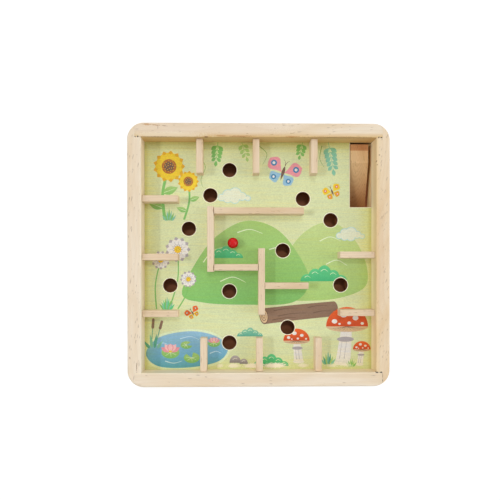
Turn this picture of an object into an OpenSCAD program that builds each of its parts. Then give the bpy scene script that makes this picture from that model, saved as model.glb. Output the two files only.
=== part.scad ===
// Hand-held tilt maze: a square wooden tray with trap holes, glued maze walls, a loose ball,
// and a lower deck that leads a fallen ball to a return ramp in the back right corner.
// Origin at the centre of the underside, X to the right, Y to the back, Z up.

/* [Frame] */
// Inside width and depth of the square tray
tray_size = 214; // [190:1:254]
// Height of the rails
rail_h = 38; // [36:0.5:60]
// Thickness of the left and right rails
side_rail_t = 12.5; // [11:0.25:16]
// Thickness of the back and front rails
end_rail_t = 13; // [11:0.25:16]
// Radius of the frame's outer corners in plan
corner_r = 15; // [8:0.5:20]
// Rounding of the rails' outer long edges
edge_r = 2; // [0.5:0.25:3]
// Rounding of the rails' inner top edges
inner_edge_r = 0.4; // [0.2:0.1:2]
// Thickness of the lip that covers each end of the back and front rails
lip_t = 6.75; // [4:0.25:8]
// Glue line between two rails
glue_gap = 0.1; // [0.05:0.05:0.3]

/* [Boards] */
// Depth of the play board's top below the rim
tray_depth = 18; // [16:0.5:20]
// Thickness of the play board
board_t = 3; // [2:0.5:4]
// Depth of the groove that holds the play board
groove_depth = 4; // [2:0.5:5]
// Thickness of the base board
base_t = 4; // [3:0.5:5]
// Width of the rebate that the base board lies in
rebate_w = 6; // [4:0.5:7]
// Clearance between a board's edge and its groove or rebate
board_play = 0.2; // [0.1:0.05:0.5]

/* [Trap holes] */
// Diameter of a trap hole
hole_d = 13; // [11:0.5:14]
// Centres of the trap holes, in four rows from the back
holes_back = [[-27.25, 80.75], [-45.25, 57], [42, 53.75]];
// Centres of the holes in the second row
holes_upper = [[68.25, 33.75], [-65.5, 25.5], [23, 5]];
// Centres of the holes in the third row
holes_lower = [[77.75, -27.5], [-83, -27.75], [-27.5, -33.25]];
// Centres of the holes in the front row
holes_front = [[27.5, -67.5], [-27.5, -81.75]];

/* [Ball return] */
// Width of the window over the ramp, out to the right rail
window_w = 20.5; // [18:0.5:24]
// Length of the window over the ramp, out to the back rail
window_l = 61; // [56:1:72]
// Width of the ramp
ramp_w = 17; // [14:0.25:18]
// Gap between the ramp and the left side of the window
ramp_gap = 0.6; // [0.4:0.1:2]
// Gap between the ramp and the back rail
ramp_back_gap = 1.5; // [0.5:0.25:2.5]
// Level landing at the top of the ramp
landing_l = 17; // [12:1:22]
// How far the landing lies below the top of the play board
landing_drop = 0.3; // [0:0.1:1]
// How far the toe of the ramp runs on under the play board
toe_run = 3; // [1:0.5:8]
// Thickness of the toe of the ramp
toe_t = 0.6; // [0.4:0.1:1.5]

/* [Maze walls] */
// Width of a maze wall
wall_w = 6; // [4:0.5:7]
// Height of a maze wall
wall_h = 13; // [8:0.5:15]
// Rounding of a maze wall's top edges
wall_edge_r = 0.6; // [0.2:0.1:1.5]
// Glue line at the end of a maze wall that stands against another wall or a rail
wall_gap = 0.4; // [0.1:0.1:1]
// Lengths of the stub walls that stand against the back, left, front and right rail
stub_l = [31, 32.25, 30.5, 31.75]; // [24:0.25:33]
// Places of the stub walls along the back rail
back_stubs = [-54.5, -2.5, 51]; // [-80:0.5:80]
// Places of the stub walls along the left rail
left_stubs = [52, -1.5, -53.5]; // [-80:0.5:80]
// Places of the stub walls along the front rail
front_stubs = [-51, 0.5, 55]; // [-80:0.5:80]
// Places of the stub walls along the right rail
right_stubs = [0.5, -53]; // [-80:0.5:20]
// Place of the pen's side wall, across the board
pen_side_x = -44.5; // [-50:0.5:-38]
// Front end of the pen's side wall
pen_side_y = -15; // [-20:0.5:-14]
// Length of the pen's side wall
pen_side_l = 60; // [56:0.5:62]
// Place of the pen's back wall, along the board
pen_back_y = 41; // [36:0.5:44]
// Length of the pen's back wall
pen_back_l = 82.5; // [60:0.5:86]
// Place of the pen's front wall, along the board
pen_front_y = -11; // [-16:0.5:-6]
// Place of the centre wall, across the board
centre_x = 2.5; // [-2:0.5:6]
// Back end of the centre wall
centre_y = 6.5; // [3:0.5:8]
// Length of the centre wall
centre_l = 61; // [50:0.5:64]
// Place of the branch wall, along the board
branch_y = -28; // [-36:0.5:-22]
// Length of the branch wall
branch_l = 40; // [30:0.5:44]

/* [Ball] */
// Diameter of the ball
ball_d = 10; // [8:0.5:10.5]
// Place of the ball across the board
ball_x = -24; // [-36:0.5:-8]
// Room between the ball and the board or the end of the centre wall
ball_clear = 0.3; // [0.2:0.05:0.6]

/* [Brads] */
// Diameter of a base brad's shank
brad_d = 1.4; // [1:0.1:2]
// Length of a base brad
brad_l = 12; // [8:0.5:14]
// Diameter of a base brad's head
brad_head_d = 2.8; // [2.2:0.1:4]
// Thickness of a base brad's head
brad_head_t = 0.6; // [0.4:0.1:1]
// Distance between the two brads on each side
brad_spacing = 140; // [80:5:170]
// Clearance round a brad in its pilot hole
brad_play = 0.05; // [0.02:0.01:0.1]

/* [Hidden] */
$fn = 96;
rail_colour = [0.91, 0.84, 0.74];
wall_colour = [0.92, 0.82, 0.71];
print_colour = [0.79, 0.82, 0.58];
plywood_colour = [0.86, 0.75, 0.58];
ball_colour = [0.78, 0.07, 0.06];
brad_colour = [0.72, 0.72, 0.74];

// Overhang of a cutting shape past the face that it cuts
cut = 1;
inner = tray_size / 2;
half_w = inner + side_rail_t;
half_d = inner + end_rail_t;
lip_x = half_w - lip_t;
board_top = rail_h - tray_depth;
board_under = board_top - board_t;
groove_half = inner + groove_depth;
rebate_half = inner + rebate_w;
brad_line = inner + rebate_w / 2;
holes = concat(holes_back, holes_upper, holes_lower, holes_front);
window_x = inner - window_w;
window_y = inner - window_l;
pen_inner_x = pen_side_x + wall_w / 2 + wall_gap;
pen_front_l = centre_x - wall_w / 2 - wall_gap - pen_inner_x;
ball_y = centre_y + ball_d / 2 + ball_clear;

function names(stem, places) = [for (i = [1 : len(places)]) str(stem, i)];
back_names = names("back_stub_", back_stubs);
left_names = names("left_stub_", left_stubs);
front_names = names("front_stub_", front_stubs);
right_names = names("right_stub_", right_stubs);

// Section of a block's border: flat towards the middle, both outer edges rounded
module border_section(reach, height, edge) {
    square([reach - edge, height]);
    translate([0, edge])
        square([reach, height - 2 * edge]);
    for (z = [edge, height - edge])
        translate([reach - edge, z])
            circle(edge);
}

// Block whose plan corners and top and bottom edges are rounded
module rounded_block(width, depth, height, corner, edge) {
    flat = [width - 2 * corner, depth - 2 * corner];
    for (turn = [0 : 90 : 270]) {
        span = turn % 180 == 0 ? flat : [flat.y, flat.x];
        rotate(turn)
            translate([span.x / 2, span.y / 2, 0]) {
                rotate_extrude(angle = 90)
                    border_section(corner, height, edge);
                rotate([90, 0, 0])
                    linear_extrude(span.y)
                        border_section(corner, height, edge);
            }
    }
    translate([-flat.x / 2, -flat.y / 2, 0])
        cube([flat.x, flat.y, height]);
}

// Section of the tray's inside, flared at the top where the rails' inner edges are rounded
module tray_section() {
    translate([-inner, -cut])
        square([2 * inner, rail_h + 2 * cut]);
    difference() {
        translate([-inner - inner_edge_r, rail_h - inner_edge_r])
            square([2 * (inner + inner_edge_r), inner_edge_r + cut]);
        for (side = [-1, 1])
            translate([side * (inner + inner_edge_r), rail_h - inner_edge_r])
                circle(inner_edge_r);
    }
}

// Inside of the tray: two crossing flared slots, so that the rounded edges meet in a mitre
module tray_inside() {
    intersection_for (turn = [0, 90])
        rotate([90, 0, turn])
            linear_extrude(2 * (max(half_w, half_d) + cut), center = true)
                tray_section();
}

// Square slab about the centre line, from one height to another
module slab(half_size, low, high) {
    translate([-half_size, -half_size, low])
        cube([2 * half_size, 2 * half_size, high - low]);
}

// Repeats a brad at its places on all four sides
module at_brads() {
    for (turn = [0 : 90 : 270], along = [-brad_spacing / 2, brad_spacing / 2])
        rotate(turn)
            translate([along, brad_line, 0])
                children();
}

// Headed brad, driven upwards with its head flush with the underside
module brad(play) {
    cylinder(h = brad_l + play, d = brad_d + 2 * play);
    cylinder(h = brad_head_t + play, d = brad_head_d + 2 * play);
}

// All four rails in one ring, before they are parted at the corners
module rail_ring() {
    difference() {
        rounded_block(2 * half_w, 2 * half_d, rail_h, corner_r, edge_r);
        tray_inside();
        slab(groove_half, board_under, board_top + board_play);
        slab(rebate_half, -cut, base_t);
        at_brads()
            brad(brad_play);
    }
}

// Room of a side rail: the full length at its lip, and the tray's length behind it
module side_rail_room() {
    translate([lip_x, -half_d - cut, -cut])
        cube([lip_t + cut, 2 * (half_d + cut), rail_h + 2 * cut]);
    translate([inner - cut, -inner + glue_gap, -cut])
        cube([side_rail_t + 2 * cut, 2 * (inner - glue_gap), rail_h + 2 * cut]);
}

// Room of a back or front rail, between the side rails' lips
module end_rail_room() {
    translate([-lip_x + glue_gap, inner, -cut])
        cube([2 * (lip_x - glue_gap), end_rail_t + cut, rail_h + 2 * cut]);
}

module right_rail() {
    color(rail_colour)
        intersection() {
            rail_ring();
            side_rail_room();
        }
}

module left_rail() {
    mirror([1, 0, 0])
        right_rail();
}

module back_rail() {
    color(rail_colour)
        intersection() {
            rail_ring();
            end_rail_room();
        }
}

module front_rail() {
    mirror([0, 1, 0])
        back_rail();
}

// Printed board with the trap holes and the window over the ramp
module play_board() {
    color(print_colour)
        difference() {
            slab(groove_half - board_play, board_under, board_top);
            for (hole = holes)
                translate([hole.x, hole.y, board_under - cut])
                    cylinder(h = board_t + 2 * cut, d = hole_d);
            translate([window_x, window_y, board_under - cut])
                cube([window_w, window_l, board_t + 2 * cut]);
        }
}

// Floor of the lower deck, let in flush with the underside of the rails
module base_board() {
    color(plywood_colour)
        difference() {
            slab(rebate_half - board_play, 0, base_t);
            at_brads()
                brad(brad_play);
        }
}

module base_brads() {
    color(brad_colour)
        at_brads()
            brad(0);
}

// Wedge under the window, with a level landing at the back and a thin toe on the base board
module return_ramp() {
    back_end = inner - ramp_back_gap;
    toe_end = window_y - toe_run;
    landing_z = board_top - landing_drop;
    color(plywood_colour)
        translate([window_x + ramp_gap, 0, 0])
            rotate([90, 0, 90])
                linear_extrude(ramp_w)
                    polygon([
                        [back_end, base_t],
                        [back_end, landing_z],
                        [back_end - landing_l, landing_z],
                        [toe_end, base_t + toe_t],
                        [toe_end, base_t]
                    ]);
}

module ball() {
    color(ball_colour)
        translate([ball_x, ball_y, board_top + ball_d / 2 + ball_clear])
            sphere(d = ball_d);
}

// Section of a maze wall, with its two top edges rounded
module wall_section() {
    translate([-wall_w / 2, 0])
        square([wall_w, wall_h - wall_edge_r]);
    translate([-wall_w / 2 + wall_edge_r, 0])
        square([wall_w - 2 * wall_edge_r, wall_h]);
    for (side = [-1, 1])
        translate([side * (wall_w / 2 - wall_edge_r), wall_h - wall_edge_r])
            circle(wall_edge_r);
}

// Maze wall that starts at a point of the play board and runs along a heading
module wall(start, heading, length) {
    color(wall_colour)
        translate([start.x, start.y, board_top])
            rotate(heading)
                rotate([90, 0, 90])
                    linear_extrude(length)
                        wall_section();
}

// Stub wall that runs inwards from a rail, the heading being the way from that rail
module stub(along, length, heading) {
    rotate(heading)
        wall([-inner + wall_gap, along], 0, length);
}

module pen_side_wall() {
    wall([pen_side_x, pen_side_y], 90, pen_side_l);
}

module pen_back_wall() {
    wall([pen_inner_x, pen_back_y], 0, pen_back_l);
}

module pen_front_wall() {
    wall([pen_inner_x, pen_front_y], 0, pen_front_l);
}

module centre_wall() {
    wall([centre_x, centre_y], -90, centre_l);
}

module branch_wall() {
    wall([centre_x + wall_w / 2 + glue_gap, branch_y], 0, branch_l);
}

module back_stub(i) {
    stub(back_stubs[i], stub_l[0], -90);
}

module left_stub(i) {
    stub(left_stubs[i], stub_l[1], 0);
}

module front_stub(i) {
    stub(-front_stubs[i], stub_l[2], 90);
}

module right_stub(i) {
    stub(-right_stubs[i], stub_l[3], 180);
}

left_rail();
right_rail();
back_rail();
front_rail();
play_board();
base_board();
base_brads();
return_ramp();
ball();
pen_side_wall();
pen_back_wall();
pen_front_wall();
centre_wall();
branch_wall();
for (i = [0 : len(back_stubs) - 1])
    back_stub(i);
for (i = [0 : len(left_stubs) - 1])
    left_stub(i);
for (i = [0 : len(front_stubs) - 1])
    front_stub(i);
for (i = [0 : len(right_stubs) - 1])
    right_stub(i);
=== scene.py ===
"""Looks of a hand-held tilt maze: finishes, printed sheet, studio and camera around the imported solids.

Lengths are in millimetres unless a name says otherwise. Meshes and shaders get metres.
"""

import logging
import math
from abc import ABC, abstractmethod
from collections.abc import Iterable, Sequence
from dataclasses import dataclass, field
from enum import Enum
from functools import cached_property

import bpy
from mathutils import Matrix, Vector
from mathutils.geometry import delaunay_2d_cdt


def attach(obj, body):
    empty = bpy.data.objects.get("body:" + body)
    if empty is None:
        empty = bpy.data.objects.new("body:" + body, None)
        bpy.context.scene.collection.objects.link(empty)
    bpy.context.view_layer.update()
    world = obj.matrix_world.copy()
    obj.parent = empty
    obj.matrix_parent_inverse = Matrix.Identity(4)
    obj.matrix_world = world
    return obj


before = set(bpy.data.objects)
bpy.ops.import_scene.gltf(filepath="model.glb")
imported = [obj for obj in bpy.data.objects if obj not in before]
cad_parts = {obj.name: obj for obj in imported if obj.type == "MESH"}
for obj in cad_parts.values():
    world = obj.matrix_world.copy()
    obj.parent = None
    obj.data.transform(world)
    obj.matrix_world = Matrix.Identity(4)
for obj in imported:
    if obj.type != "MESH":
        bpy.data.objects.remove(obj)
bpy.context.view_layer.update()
log = logging.getLogger("tilt_maze")

MM = 0.001
X, Y, Z = range(3)
GAME = "game"
INSIDE = 1  # keeps the triangles that lie in a field of ink

Point = tuple[float, float]
Outline = list[Point]
Socket = bpy.types.NodeSocket
Input = Socket | float | Sequence[float]
Inputs = dict[int | str, Input]
Marked = tuple[Socket, Input]


@dataclass(frozen=True)
class Colour:
    """A colour as it is seen, each part on a scale of 255."""

    red: int
    green: int
    blue: int

    def linear(self) -> tuple[float, float, float, float]:
        """Turns the colour into light.

        Returns:
            The light that it sends back, opaque.
        """
        shares = (part / 255 for part in (self.red, self.green, self.blue))
        light = [s / 12.92 if s <= 0.04045 else ((s + 0.055) / 1.055) ** 2.4 for s in shares]
        return light[0], light[1], light[2], 1.0


class Grain(Enum):
    """Direction in which the fibres of a piece of wood run."""

    ACROSS = "X"
    ALONG = "Y"

    def axes(self, along: float, across: float, through: float) -> tuple[float, float, float]:
        """Returns three measures along, across and through the fibres in the order of the axes."""
        return (along, across, through) if self is Grain.ACROSS else (across, along, through)


@dataclass(frozen=True)
class Texture:
    """Soft noise.

    Attributes:
        cells: noise cells per metre along, across and through the fibres.
        detail: how many finer layers it has.
        warp: how far it is twisted.
    """

    cells: tuple[float, float, float]
    detail: float = 2.0
    warp: float = 0.0


class Noise(Enum):
    """Textures of the finishes."""

    DRIFT = Texture((11, 55, 55), 3.0, 0.4)
    WANDER = Texture((7, 40, 40))
    FIBRES = Texture((70, 1500, 1500), 3.0)
    PORES = Texture((150, 900, 900))
    SWAY = Texture((260, 260, 260), 1.0)
    RAGGED = Texture((900, 900, 900), 1.0)
    VENEER = Texture((60, 1300, 1300), 3.0)
    BURN = Texture((420, 420, 900), 3.0)
    PRINT = Texture((34, 860, 860), 4.0)
    SPECKLE = Texture((820, 980, 980), 3.0)
    CLOUD = Texture((22, 40, 40))
    FLOW = Texture((420, 420, 420))
    SPOTS = Texture((1500, 1500, 1500), 3.0)


class Graph:
    """Shader nodes of a material or of the surroundings, with short calls for what the finishes share."""

    def __init__(self, name: str, world: bool = False) -> None:
        """Makes the material, or the world, with its shader.

        Args:
            name: its name.
            world: whether it is a world.
        """
        self.owner = (bpy.data.worlds if world else bpy.data.materials).new(name)
        self.owner.use_nodes = True
        self.nodes = self.owner.node_tree.nodes
        self.shader = self.nodes["Background" if world else "Principled BSDF"]

    @cached_property
    def place(self) -> Socket:
        """Returns the place on the object."""
        return self.add("TexCoord").outputs["Object"]

    @cached_property
    def axes(self) -> Sequence[Socket]:
        """Returns the parts of that place along X, Y and Z."""
        return self.add("SeparateXYZ", {0: self.place}).outputs

    def add(self, kind: str, inputs: Inputs | None = None, **settings: object) -> bpy.types.Node:
        """Adds a node.

        Args:
            kind: type of the node, without its prefix.
            inputs: values or sockets for the node's inputs, by name or number.
            settings: the node's own settings.

        Returns:
            The new node.
        """
        node = self.nodes.new("ShaderNode" + kind)
        for name, setting in settings.items():
            setattr(node, name, setting)
        for key, value in (inputs or {}).items():
            self.feed(node.inputs[key], value)
        return node

    def feed(self, socket: Socket, value: Input) -> None:
        """Links a socket to another, or sets it.

        Args:
            socket: input to feed.
            value: output socket, or a constant.
        """
        if isinstance(value, Socket):
            self.owner.node_tree.links.new(value, socket)
        else:
            socket.default_value = value

    def finish(self, **inputs: Input) -> bpy.types.ID:
        """Feeds the shader.

        Args:
            inputs: values or sockets by the input's name, with underscores for spaces.

        Returns:
            The finished material or world.
        """
        for name, value in inputs.items():
            self.feed(self.shader.inputs[name.replace("_", " ")], value)
        return self.owner

    def seen(self) -> Socket:
        """Tells rays that are seen from rays that only light the scene.

        Returns:
            1 for what is seen straight, in reflections or through glass, and 0 for other light.
        """
        rays = self.add("LightPath").outputs
        indirect = self.calc("MAXIMUM", rays["Is Glossy Ray"], rays["Is Transmission Ray"])
        return self.calc("MAXIMUM", rays["Is Camera Ray"], indirect)

    def cells(self, noise: Noise, grain: Grain = Grain.ACROSS, slope: float = 0.0) -> Socket:
        """Measures the place on the object in noise cells.

        Args:
            noise: the noise.
            grain: direction of the fibres that it follows.
            slope: angle between the fibres and that direction, in degrees.

        Returns:
            The place.
        """
        turned = self.add("Mapping", {0: self.place, "Rotation": (0, 0, math.radians(slope))}).outputs[0]
        return self.add("Mapping", {0: turned, "Scale": grain.axes(*noise.value.cells)}).outputs[0]

    def noise(self, noise: Noise, grain: Grain = Grain.ACROSS, slope: float = 0.0) -> Socket:
        """Draws soft noise.

        Args:
            noise: the noise.
            grain: direction of the fibres that it follows.
            slope: angle between the fibres and that direction, in degrees.

        Returns:
            The noise, from 0 to 1.
        """
        inputs = {
            "Vector": self.cells(noise, grain, slope),
            "Scale": 1.0,
            "Detail": noise.value.detail,
            "Distortion": noise.value.warp,
        }
        return self.add("TexNoise", inputs).outputs[0]

    def oval(self, centre: Sequence[float], reach: Sequence[float], turn: float) -> Socket:
        """Measures how far a place lies from a centre.

        Args:
            centre: the centre.
            reach: half the sizes of an oval round it.
            turn: turn of the oval about Z, in degrees.

        Returns:
            The distance, which is 1 on the oval.
        """
        mapping = {
            0: self.place,
            "Location": [part * MM for part in centre],
            "Rotation": (0, 0, math.radians(turn)),
            "Scale": [part * MM for part in reach],
        }
        at = self.add("Mapping", mapping, vector_type="TEXTURE").outputs[0]
        return self.add("VectorMath", {0: at}, operation="LENGTH").outputs["Value"]

    def level(self, value: Input, low: float, high: float, to: Point = (0.0, 1.0)) -> Socket:
        """Maps a range smoothly to another.

        Args:
            value: what is mapped.
            low: value that gives the first end.
            high: value that gives the second end.
            to: the two ends.

        Returns:
            The mapped value, clamped.
        """
        inputs = {0: value, 1: low, 2: high, 3: to[0], 4: to[1]}
        return self.add("MapRange", inputs, interpolation_type="SMOOTHSTEP").outputs[0]

    def rise(self, value: Input, low: float, high: float) -> Socket:
        """Returns a smooth rise from 0 to 1 between two lengths."""
        return self.level(value, low * MM, high * MM)

    def calc(self, operation: str, *values: Input) -> Socket:
        """Returns the result of a sum on up to three values."""
        return self.add("Math", dict(enumerate(values)), operation=operation).outputs[0]

    def blend(self, share: Input, first: Input, second: Input, mode: str = "MIX") -> Socket:
        """Returns two colours laid over each other, the second by its share."""
        return self.add("Mix", {0: share, 6: first, 7: second}, data_type="RGBA", blend_type=mode).outputs[2]

    def tint(self, share: Input, colour: Input, tint: Colour) -> Socket:
        """Returns a colour darkened by a tint, by its share."""
        return self.blend(share, colour, tint.linear(), "MULTIPLY")

    def tone(self, colour: Input, value: Input, spread: float) -> Socket:
        """Makes a colour darker and lighter.

        Args:
            colour: the colour.
            value: noise from 0 to 1.
            spread: greatest change, as a share of the colour.

        Returns:
            The changed colour.
        """
        factor = self.add("MapRange", {0: value, 3: 1 - spread, 4: 1 + spread}).outputs[0]
        grey = self.add("CombineColor", {0: factor, 1: factor, 2: factor}).outputs[0]
        return self.blend(1.0, colour, grey, "MULTIPLY")

    def relief(self, height: Input, depth: float) -> Socket:
        """Returns a normal bent by a height from 0 to 1, in a relief of a depth."""
        return self.add("Bump", {"Height": height, "Strength": 1.0, "Distance": depth * MM}).outputs[0]


@dataclass(frozen=True)
class SolidWood:
    """Sanded bare wood with drifting tone, growth lines, fibres and short dark pores.

    Attributes:
        name: name of the material.
        grain: direction of the fibres.
        pale: colour of the early wood.
        deep: colour of the late wood and of warm drifts.
        pore: colour of the pores.
        slope: angle between the fibres and the piece, in degrees.
        pore_share: share of the pore cells that show a pore.
        ring: distance between two growth lines.
        depth: depth of the fibres' relief.
        pore_tint: how much of its colour a pore takes.
        ring_tint: how much of the late wood's colour a growth line takes.
        fibre_tone: how much the fibres darken and lighten the wood.
        bend: how many lines aside the growth lines wander.
        early: share of the way from one line to the next before the wood darkens.
        lie: direction along, across and through the fibres in which the lines follow each other.
    """

    name: str
    grain: Grain
    pale: Colour
    deep: Colour
    pore: Colour
    slope: float = 0.0
    pore_share: float = 0.2
    ring: float = 3.6
    depth: float = 0.05
    pore_tint: float = 0.45
    ring_tint: float = 0.35
    fibre_tone: float = 0.09
    bend: float = 6.0
    early: float = 0.3
    lie: tuple[float, float, float] = (0.0, 0.8, 0.6)

    def material(self) -> bpy.types.Material:
        """Builds the finish.

        Returns:
            Its material.
        """
        g = Graph(self.name)
        drift, fibres, wander = (
            g.noise(noise, self.grain, self.slope) for noise in (Noise.DRIFT, Noise.FIBRES, Noise.WANDER)
        )
        rings, pores = self.rings(g, wander), self.pores(g)
        colour = g.blend(g.level(drift, 0.38, 0.72), self.pale.linear(), self.deep.linear())
        colour = g.blend(g.calc("MULTIPLY", rings, self.ring_tint), colour, self.deep.linear())
        colour = g.tone(colour, fibres, self.fibre_tone)
        colour = g.blend(g.calc("MULTIPLY", pores, self.pore_tint), colour, self.pore.linear())
        colour, marks = self.marks(g, colour)
        height = g.calc("SUBTRACT", fibres, g.calc("MAXIMUM", pores, marks))
        return g.finish(
            Base_Color=colour,
            Roughness=g.level(fibres, 0.3, 0.7, (0.52, 0.66)),
            Normal=g.relief(height, self.depth),
            Specular_IOR_Level=0.3,
        )

    def rings(self, g: Graph, wander: Socket) -> Socket:
        """Draws the growth lines.

        Args:
            g: nodes of the material.
            wander: noise that bends the lines.

        Returns:
            How far a place lies on a line, from 0 to 1.
        """
        bent = g.calc("MULTIPLY_ADD", wander, self.bend, self.lines(g))
        return g.level(g.calc("FRACT", bent), self.early, 1.0)

    def lines(self, g: Graph) -> Socket:
        """Counts the growth lines.

        Args:
            g: nodes of the material.

        Returns:
            The number of lines up to a place.
        """
        lie = self.grain.axes(*self.lie)
        across = g.add("VectorMath", {0: g.place, 1: lie}, operation="DOT_PRODUCT").outputs["Value"]
        return g.calc("MULTIPLY", across, 1 / (self.ring * MM))

    def pores(self, g: Graph) -> Socket:
        """Draws short dark pores along the fibres.

        Args:
            g: nodes of the material.

        Returns:
            How far a place lies in a pore, from 0 to 1.
        """
        at = {0: g.cells(Noise.PORES, self.grain, self.slope), 1: g.noise(Noise.SWAY)}
        swayed = g.add("VectorMath", at, operation="ADD").outputs[0]
        cell = g.add("TexVoronoi", {"Vector": swayed, "Scale": 1.0})
        draw = g.add("SeparateColor", {0: cell.outputs["Color"]}).outputs
        size = g.level(draw[1], 0.0, 1.0, (0.2, 0.44))
        inside = g.level(g.calc("DIVIDE", cell.outputs["Distance"], size), 1.0, 0.4)
        return g.calc("MULTIPLY", g.calc("LESS_THAN", draw[0], self.pore_share), inside)

    def marks(self, g: Graph, colour: Socket) -> Marked:
        """Adds no marks of handling. Returns the colour and the depth of the marks."""
        return colour, 0.0


class Stain(Enum):
    """Colours of the marks of making and handling."""

    GLUE = Colour(48, 32, 26)
    CRACK = Colour(142, 98, 62)
    RUB = Colour(184, 132, 78)
    BARE = Colour(240, 230, 206)


@dataclass(frozen=True)
class Mark:
    """A small mark on an upper face.

    Attributes:
        centre: its middle.
        length: its length.
        width: its width.
        stain_and_shade: its colour.
        turn: direction of its length, in degrees from X.
        share: how much of the wood it covers.
        drop: how far it reaches down a side face.
    """

    centre: Point
    length: float
    width: float
    stain_and_shade: Stain
    turn: float = 0.0
    share: float = 1.0
    drop: float = 4.0

    def cover(self, g: Graph, top: float) -> Socket:
        """Draws the mark.

        Args:
            g: nodes of the material.
            top: height of the upper face.

        Returns:
            How far a place lies in the mark, from 0 to 1.
        """
        distance = g.oval((*self.centre, top), (self.length / 2, self.width / 2, self.drop), self.turn)
        ragged = g.level(g.noise(Noise.RAGGED), 0.25, 0.75, (0.7, 1.3))
        return g.level(g.calc("MULTIPLY", distance, ragged), 1.0, 0.45, (0.0, self.share))


def lay_marks(g: Graph, colour: Socket, marks: Sequence[Mark], top: float) -> tuple[Socket, list[Socket]]:
    """Lays marks on an upper face.

    Args:
        g: nodes of the material.
        colour: colour of the face.
        marks: the marks.
        top: height of the face.

    Returns:
        The colour with the marks, and how far a place lies in each of them.
    """
    covers = [mark.cover(g, top) for mark in marks]
    for mark, cover in zip(marks, covers):
        colour = g.blend(cover, colour, mark.stain_and_shade.value.linear())
    return colour, covers


@dataclass(frozen=True)
class RailWood(SolidWood):
    """Wood of a rail, with painted light and shade on its inner face and along its inner edge, and the marks
    of its making.

    Attributes:
        bare: colour of the painted light and shade on the inner face at its upper edge.
        upper_shading_share: how much of that colour the wood takes.
        foot: colour of the painted light and shade on the inner face at its foot.
        foot_shading_share: how much of that colour the wood takes.
        edge: distance of the inner face from the centre line.
        warm: width of the strip of the upper face along the inner edge that takes the painted light and
            shade too.
        top: height of the upper face.
        board: height of the play board, under which the inner face is raw wood.
        raw: colour of the raw wood, lightened as painted light where it lies in the shade under the board.
        stains: the marks.
    """

    bare: Colour = Colour(202, 160, 82)
    upper_shading_share: float = 0.0
    foot: Colour = Colour(202, 160, 82)
    foot_shading_share: float = 0.0
    edge: float = 107.0
    warm: float = 1.5
    top: float = 38.0
    board: float = 20.0
    raw: Colour = Colour(255, 226, 162)
    stains: tuple[Mark, ...] = ()

    def marks(self, g: Graph, colour: Socket) -> Marked:
        """Draws the painted light and shade on the inner face, the raw wood under the board and the marks.

        Args:
            g: nodes of the material.
            colour: colour of the wood.

        Returns:
            The colour with the marks, and how deep a place lies in one.
        """
        # Painted light and shade: the inner face, and a strip of the upper face along the inner edge, take a
        # colour that runs from the foot to the upper edge. It is lighter or darker as the light falls there.
        off = g.calc("ABSOLUTE", g.axes[Y if self.grain is Grain.ACROSS else X])
        inner = g.rise(off, self.edge + self.warm, self.edge)
        rise = g.rise(g.axes[Z], self.board, self.top)
        tint = g.blend(rise, self.foot.linear(), self.bare.linear())
        share = g.level(rise, 0.0, 1.0, (self.foot_shading_share, self.upper_shading_share))
        colour = g.blend(g.calc("MULTIPLY", inner, share), colour, tint)
        # The raw wood under the board is lightened as painted light, since that face lies in shade.
        under = g.calc("MULTIPLY", g.calc("LESS_THAN", g.axes[Z], self.board * MM), inner)
        colour = g.blend(under, colour, self.raw.linear())
        colour, covers = lay_marks(g, colour, self.stains, self.top)
        depth: Input = 0.0
        for cover in covers:
            depth = g.calc("MAXIMUM", depth, cover)
        return colour, depth


@dataclass(frozen=True)
class WallWood(SolidWood):
    """Wood of the maze walls, with the glue that shows where one stands against another.

    Attributes:
        top: height of the upper faces.
        stains: the glue lines.
    """

    top: float = 33.0
    stains: tuple[Mark, ...] = ()

    def marks(self, g: Graph, colour: Socket) -> Marked:
        """Draws the glue lines. Returns the colour with them, and no depth."""
        return lay_marks(g, colour, self.stains, self.top)[0], 0.0


@dataclass(frozen=True)
class RampWood(SolidWood):
    """Flat-sawn wood of the ramp, whose growth lines lie in ovals round one spot, darker down its slope and
    towards its toe, with painted shade on a strip at its back.

    Attributes:
        heart: middle of the ovals.
        stretch: length of an oval over its width.
        through: half the height of an oval, far more than the ramp's.
        landing: place along Y where the slope begins.
        slope_tint: tint of the slope, from the landing's edge down.
        toe: place along Y where the toe tint is full.
        back: place along Y behind which the strip of painted shade lies, where the back rail's shadow falls.
        toe_tint: tint that darkens the slope more from the landing to the toe.
        stain_and_shade: tint of the painted shade on that strip, which reddens the back rail's shadow.
        blur: how far the edges of the slope and of the strip run to either side.
    """

    bend: float = 1.6
    early: float = 0.25
    heart: Point = (0.0, 0.0)
    stretch: float = 3.2
    through: float = 1000.0
    landing: float = 88.0
    slope_tint: Colour = Colour(243, 240, 236)
    toe: float = 46.0
    back: float = 99.6
    toe_tint: Colour = Colour(200, 161, 128)
    stain_and_shade: Colour = Colour(233, 201, 182)
    blur: float = 0.3

    def marks(self, g: Graph, colour: Socket) -> Marked:
        """Draws the darker slope, the darker toe and the painted shade on the back strip.

        Args:
            g: nodes of the material.
            colour: colour of the wood.

        Returns:
            The colour with them, and no depth.
        """
        # The slope and the toe are tinted darker. The strip at the back gets painted shade where the back
        # rail's shadow falls.
        for start, end, tint in (
            (self.landing + self.blur, self.landing - self.blur, self.slope_tint),
            (self.landing, self.toe, self.toe_tint),
            (self.back - self.blur, self.back + self.blur, self.stain_and_shade),
        ):
            colour = g.tint(g.rise(g.axes[Y], start, end), colour, tint)
        return colour, 0.0

    def lines(self, g: Graph) -> Socket:
        """Counts the ovals. Returns their number up to a place."""
        reach = (self.ring, self.ring * self.stretch, self.through)
        return g.oval((*self.heart, 0.0), reach, self.slope)


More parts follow.
